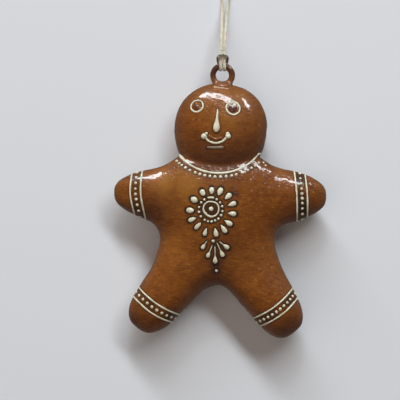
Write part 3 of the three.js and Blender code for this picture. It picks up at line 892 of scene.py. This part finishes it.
def ring_darkening(vertices):
    """The ring is dark but for its foot, and darkest at the upper left."""
    above_foot = 1 - step_down(vertices[:, 1], *RING_DARK_UP)
    to_left = step_down(vertices[:, 0], *RING_DARK_LEFT)
    return above_foot * (RING_DARKENING + RING_LEFT_DARKENING * to_left)


def gilding(vertices):
    return np.max([spread(vertices, *spot) for spot in GILDED], axis=0)


# ---- materials

class Nodes:
    """A material being made, with short ways to add and link nodes."""

    def __init__(self, name):
        self.material = bpy.data.materials.new(name)
        self.material.use_nodes = True
        self.tree = self.material.node_tree
        self.tree.nodes.clear()
        self.shader = self.add("ShaderNodeBsdfPrincipled")
        output = self.add("ShaderNodeOutputMaterial")
        self.feed(output.inputs["Surface"], self.shader.outputs["BSDF"])

    def add(self, kind, **inputs):
        node = self.tree.nodes.new(kind)
        for name, value in inputs.items():
            node.inputs[name.replace("_", " ")].default_value = value
        return node

    def feed(self, socket, value):
        """Links a socket to another's output, or sets it to a constant."""
        if isinstance(value, bpy.types.NodeSocket):
            self.tree.links.new(value, socket)
        else:
            socket.default_value = value

    def noise(self, scale, detail, roughness=0.55):
        """Noise over object coordinates in metres, with a scale for each axis."""
        place = self.add("ShaderNodeTexCoord")
        mapping = self.add("ShaderNodeMapping", Scale=scale)
        self.feed(mapping.inputs["Vector"], place.outputs["Object"])
        node = self.add("ShaderNodeTexNoise", Scale=1.0, Detail=detail, Roughness=roughness)
        self.feed(node.inputs["Vector"], mapping.outputs["Vector"])
        return node.outputs["Fac"]

    def ramp(self, factor, *stops):
        node = self.add("ShaderNodeValToRGB")
        elements = node.color_ramp.elements
        for element, (position, colour) in zip(elements, stops):
            element.position = position
            element.color = (*colour, 1)
        self.feed(node.inputs["Fac"], factor)
        return node.outputs["Color"]

    def grey_ramp(self, factor, *stops):
        return self.ramp(factor, *((position, (level,) * 3) for position, level in stops))

    def mix(self, factor, a, b):
        node = self.add("ShaderNodeMix")
        node.data_type = "RGBA"
        self.feed(node.inputs[0], factor)
        self.feed(node.inputs[6], a)
        self.feed(node.inputs[7], (*b, 1))
        return node.outputs[2]

    def math(self, operation, *values):
        node = self.add("ShaderNodeMath")
        node.operation = operation
        for socket, value in zip(node.inputs, values):
            self.feed(socket, value)
        return node.outputs[0]

    def weighted(self, *parts):
        """The sum of outputs, each times its weight."""
        total, *others = [self.math("MULTIPLY", output, weight) for output, weight in parts]
        for other in others:
            total = self.math("ADD", total, other)
        return total

    def attribute(self, name):
        node = self.add("ShaderNodeAttribute")
        node.attribute_name = name
        return node.outputs["Fac"]

    def bump(self, height, strength, distance, before=None):
        node = self.add("ShaderNodeBump", Strength=strength, Distance=distance)
        self.feed(node.inputs["Height"], height)
        if before:
            self.feed(node.inputs["Normal"], before)
        return node.outputs["Normal"]

    def principled(self, **values):
        """The material, with the shader's sockets fed by name."""
        for name, value in values.items():
            self.feed(self.shader.inputs[name.replace("_", " ")], value)
        return self.material


UMBER = (0.026, 0.0155, 0.008)
# The plum dark of the painted shade, of stains and of darker parts of the lacquer.
PLUM = (0.045, 0.0155, 0.016)
GOLD = (0.40, 0.17, 0.03)
# The dark of the hitch's top, and of the shade painted on it where it runs behind the ring.
DARK_TWINE_AND_SHADE = (0.13, 0.115, 0.07)


def lacquer(name, light, deep):
    """Glossy brown lacquer: mottled, brushed across, flecked with gold, pitted with dark, and
    toned by the attributes of its mesh, one of which paints shade, under a lumpy clear skin
    with small dents."""
    nodes = Nodes(name)
    clouds = nodes.noise((75, 75, 75), detail=3)
    mottle = nodes.noise((260, 420, 260), detail=6, roughness=0.6)
    streaks = nodes.noise((380, 1300, 600), detail=3, roughness=0.7)
    tone = nodes.weighted((clouds, 0.32), (mottle, 0.28), (streaks, 0.4))
    colour = nodes.ramp(tone, (0.38, deep), (0.62, light))
    dashes = nodes.noise((600, 1700, 900), detail=2)
    colour = nodes.mix(nodes.grey_ramp(dashes, (0.58, 0.0), (0.74, 0.6)), colour, GOLD)
    pits = nodes.noise((850, 950, 850), detail=2)
    colour = nodes.mix(nodes.grey_ramp(pits, (0.27, 0.75), (0.33, 0.0)), colour, UMBER)
    # Of these tints the plum one paints shade where the figure leans down and in broad spots, besides stains
    # and darker parts; the gold and the umber wash are the lacquer's own.
    for attribute, tint in (("gilding", GOLD), ("darkening", PLUM), ("wash", UMBER)):
        colour = nodes.mix(nodes.attribute(attribute), colour, tint)
    lumps = nodes.bump(nodes.noise((420, 560, 420), detail=2), 0.6, 0.00016)
    dents = nodes.grey_ramp(nodes.noise((950, 1050, 950), detail=1), (0.3, 0.0), (0.4, 1.0))
    skin = nodes.bump(dents, 0.9, 0.00005, lumps)
    return nodes.principled(
        Base_Color=colour, Roughness=0.5, IOR=1.5, Specular_IOR_Level=0.2, Normal=skin,
        Coat_Weight=1.0, Coat_Roughness=0.08, Coat_IOR=1.6, Coat_Normal=skin,
    )


def cream_paint(name, light, deep):
    """Thick cream paint, slightly dirty, with a satin skin."""
    nodes = Nodes(name)
    dirt = nodes.noise((700, 700, 700), detail=5, roughness=0.6)
    colour = nodes.ramp(dirt, (0.35, deep), (0.62, light))
    skin = nodes.bump(nodes.noise((1600, 1600, 1600), detail=4), 0.4, 0.00008)
    return nodes.principled(
        Base_Color=colour, Roughness=0.45, IOR=1.5, Normal=skin, Coat_Weight=0.25, Coat_Roughness=0.3,
    )


def twine(name, light, deep):
    """Natural string: fibres along the plies, paler and darker by turns."""
    nodes = Nodes(name)
    flecks = nodes.noise((2600, 900, 2600), detail=5, roughness=0.7)
    patches = nodes.noise((500, 320, 500), detail=3)
    tone = nodes.weighted((flecks, 0.6), (patches, 0.4))
    colour = nodes.ramp(tone, (0.36, deep), (0.62, light))
    # Darker along the hitch's top, and painted shade where it runs round behind the ring.
    colour = nodes.mix(nodes.attribute("soiling"), colour, DARK_TWINE_AND_SHADE)
    skin = nodes.bump(flecks, 0.8, 0.00012)
    return nodes.principled(
        Base_Color=colour, Roughness=0.85, Normal=skin, Sheen_Weight=0.3, Sheen_Roughness=0.5,
    )


LACQUER = lacquer("brown lacquer", (0.29, 0.089, 0.010), (0.155, 0.039, 0.0055))
RING_LACQUER = lacquer("brown lacquer on the ring", (0.31, 0.11, 0.030), (0.16, 0.05, 0.014))
# A paler lacquer for the solder seam: a painted highlight along the bead.
SEAM_PAINTED_HIGHLIGHT_LACQUER = lacquer("seam lacquer paled as a painted highlight", (0.62, 0.42, 0.27), (0.38, 0.20, 0.11))
CREAM = cream_paint("cream paint", (0.86, 0.80, 0.62), (0.66, 0.58, 0.40))
# A darker, duller cream for the chin line.
DULL_CREAM = cream_paint("darker cream paint", (0.34, 0.25, 0.17), (0.22, 0.15, 0.095))
TWINE = twine("natural twine", (0.84, 0.78, 0.62), (0.52, 0.45, 0.32))


# ---- the pieces

def twisted(route, diameter):
    """Vertices and faces of a string of plies laid round each other along a line."""
    side, up = carried_frame(route)
    along = distances_along(route)
    meshes = []
    for k in range(PLIES):
        turn = 2 * math.pi * (along / PLY_PITCH + k / PLIES)
        line = route + PLY_OFFSET * diameter * (np.cos(turn)[:, None] * side + np.sin(turn)[:, None] * up)
        across, other = carried_frame(line)
        width = np.full(len(line), PLY_RADIUS * diameter)
        meshes.append(swept(line, across, other, width, width, PLY_SIDES))
    return joined(meshes)


def make_string():
    route = smooth_line(STRING_ROUTE, STRING_STEP)
    vertices, faces = twisted(route, STRING_DIAMETER)
    string = new_piece("string", vertices, faces, TWINE, soiling=np.zeros(len(vertices)))
    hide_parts("cord")

    ring_x = RING_X * MM
    half = np.array(HITCH) + (ring_x, 0, 0)
    mirrored = half[::-1] * (-1, 1, 1) + (2 * RING_X * MM, 0, 0)
    bight = np.array([HITCH_BIGHT]) + (ring_x, 0, 0)
    hitch_route = smooth_line(np.concatenate([half, bight, mirrored]), STRING_STEP)
    vertices, faces = twisted(hitch_route, HITCH_DIAMETER)
    # Painted shade outside the strands, where the hitch runs round behind the ring, and a darker top over the
    # strands.
    over_strands = 1 - step_down(vertices[:, 2], *DARKER_ABOVE_HEIGHT)
    top_of_bight = 1 - step_down(vertices[:, 1], *DARKER_ABOVE_Y)
    outside_strands = 1 - step_down(np.abs(vertices[:, 0] - ring_x), *PAINTED_SHADE_OUTSIDE)
    soiling = np.maximum(over_strands * top_of_bight, outside_strands)
    hitch = new_piece("string_hitch", vertices, faces, TWINE, soiling=soiling)
    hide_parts("cord_knot")
    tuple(STRING_ROUTE[0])


def make_figure(deep_marks, thin_marks):
    vertices, quads = surface_net(figure_distance, FIGURE_LOW, FIGURE_HIGH, FIGURE_CELL)
    # The figure's mesh carries painted shade where it leans down and in broad spots, besides its wash and
    # gilding.
    figure = new_piece(
        "lacquered_figure", vertices * MM, quads, LACQUER,
        wash=wash(vertices, deep_marks, thin_marks), darkening=darkening(vertices), gilding=gilding(vertices),
    )
    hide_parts("body")


def make_ring():
    vertices, quads = surface_net(ring_distance, RING_LOW, RING_HIGH, RING_CELL)
    dark = ring_darkening(vertices)
    ring = new_piece("hanging_loop", vertices * MM, quads, RING_LACQUER, darkening=dark)
    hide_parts("hanging_ring")


def make_paint():
    """The painted pieces, and the marks with a deep halo of wash and those with a thin one."""
    flower, spray, face = paint_flower(), paint_spray(), paint_face()
    bands, collar, chin = paint_bands(), paint_collar(), paint_line(26, **CHIN_LINE)
    cream = {
        "painted_bands": bands, "painted_collar": collar, "painted_flower": flower,
        "painted_spray": spray, "painted_face": face,
    }
    for name, paint in cream.items():
        paint.piece(name, CREAM)
    chin.piece("painted_chin_line", DULL_CREAM)
    pupils = Paint(27)
    pupils.dots(PUPILS)
    pupils = pupils.piece("raised_pupils", LACQUER)
    on_right = np.array([vertex.co.x > 0 for vertex in pupils.data.vertices])
    set_attribute(pupils, "darkening", np.where(on_right, RIGHT_PUPIL_DARKENING, LEFT_PUPIL_DARKENING))
    lip = paint_line(29, **LIP).piece("raised_lip", LACQUER)
    set_attribute(lip, "darkening", np.full(len(lip.data.vertices), LIP_DARKENING))
    # The seam and its bubble are drawn pale: a painted highlight.
    seam = paint_line(28, **SEAM)
    seam.dots([SEAM_BUBBLE])
    seam.piece("solder_seam", SEAM_PAINTED_HIGHLIGHT_LACQUER)
    deep = flower.marks + spray.marks
    thin = bands.marks + collar.marks + face.marks + chin.marks
    return deep, thin


# ---- camera, floor and lights

PHOTO_SIZE = 400  # pixels each way
PIXEL = 0.0004  # metres of the figure's outline plane to a pixel
FIGURE_ORIGIN = (220.1, 199.9)  # where the figure's own X = 0, Y = 0 shows
CAMERA_DISTANCE = 2.5
CLIP_END = 10
SENSOR = 36.0

FLOOR_REACH = 2.5
FLOOR_COLOUR = (0.80, 0.80, 0.82, 1)

COOL = (0.95, 1.02, 1.07)
WARM = (1.0, 0.86, 0.76)

# Rectangular lights: name, azimuth and elevation, distance, size, power, level direction that
# the length runs in as nearly as it can, colour, whether it shows in gloss, and whether it
# lights the surfaces. Metres, watts and degrees.
LIGHTS = (
    ("window", 93, 21, 1.4, (1.55, 0.3), 18.8, 117, COOL, True, False),
    ("side window", 50, 11, 1.6, (0.53, 0.2), 4.9, 63, COOL, True, False),
    ("low light", 105, 27, 2.1, (1.5, 0.3), 21.0, 130, COOL, False, True),
    ("high light", 72, 48, 2.1, (1.65, 0.33), 25.4, 130, COOL, False, True),
    ("room light", 200, 66, 2.4, (2.7, 2.7), 15.0, 110, WARM, False, True),
)

# The surroundings: the room above the horizon, and what the lacquer mirrors below it.
ROOM = (0.06, 0.055, 0.05)
BELOW = (0.155, 0.12, 0.10)
HORIZON_FADE = 0.05


def add_camera():
    data = bpy.data.cameras.new("camera")
    data.sensor_width = SENSOR
    data.lens = SENSOR * CAMERA_DISTANCE / (PHOTO_SIZE * PIXEL)
    data.clip_end = CLIP_END
    camera = new_object("camera", data)
    camera.location = (
        (PHOTO_SIZE / 2 - FIGURE_ORIGIN[0]) * PIXEL,
        (FIGURE_ORIGIN[1] - PHOTO_SIZE / 2) * PIXEL,
        MID_PLANE * MM + CAMERA_DISTANCE,
    )
    bpy.context.scene.camera = camera


def add_floor():
    mesh = bpy.data.meshes.new("floor")
    corners = [(x * FLOOR_REACH, y * FLOOR_REACH, 0) for x, y in ((-1, -1), (1, -1), (1, 1), (-1, 1))]
    mesh.from_pydata(corners, [], [(0, 1, 2, 3)])
    nodes = Nodes("pale floor")
    mesh.materials.append(nodes.principled(Base_Color=FLOOR_COLOUR, Roughness=0.9, Specular_IOR_Level=0.0))
    floor = new_object("floor", mesh)
    floor.visible_glossy = False


def add_light(name, azimuth, elevation, distance, size, power, run, colour, mirrored, matte):
    """A light facing the ornament."""
    data = bpy.data.lights.new(name, "AREA")
    data.shape = "RECTANGLE"
    data.size, data.size_y = size
    data.energy = power
    data.color = colour
    light = new_object(name, data)
    turn, rise, run = math.radians(azimuth), math.radians(elevation), math.radians(run)
    back = Vector((math.cos(rise) * math.cos(turn), math.cos(rise) * math.sin(turn), math.sin(rise)))
    level = Vector((math.cos(run), math.sin(run), 0.0))
    length = (level - level.dot(back) * back).normalized()
    light.matrix_world = Matrix((length, back.cross(length), back)).transposed().to_4x4()
    light.location = distance * back
    light.visible_glossy = mirrored
    light.visible_diffuse = matte


def add_world():
    world = bpy.data.worlds.new("studio")
    world.use_nodes = True
    nodes, links = world.node_tree.nodes, world.node_tree.links
    place = nodes.new("ShaderNodeTexCoord")
    split = nodes.new("ShaderNodeSeparateXYZ")
    ramp = nodes.new("ShaderNodeValToRGB")
    links.new(place.outputs["Generated"], split.inputs["Vector"])
    links.new(split.outputs["Z"], ramp.inputs["Fac"])
    links.new(ramp.outputs["Color"], nodes["Background"].inputs["Color"])
    low, high = ramp.color_ramp.elements
    low.position, low.color = 0.0, (*BELOW, 1)
    high.position, high.color = HORIZON_FADE, (*ROOM, 1)
    bpy.context.scene.world = world


add_camera()
make_string()
make_figure(*make_paint())
make_ring()
add_floor()
for light in LIGHTS:
    add_light(*light)
add_world()
bpy.context.scene.view_settings.view_transform = "Standard"
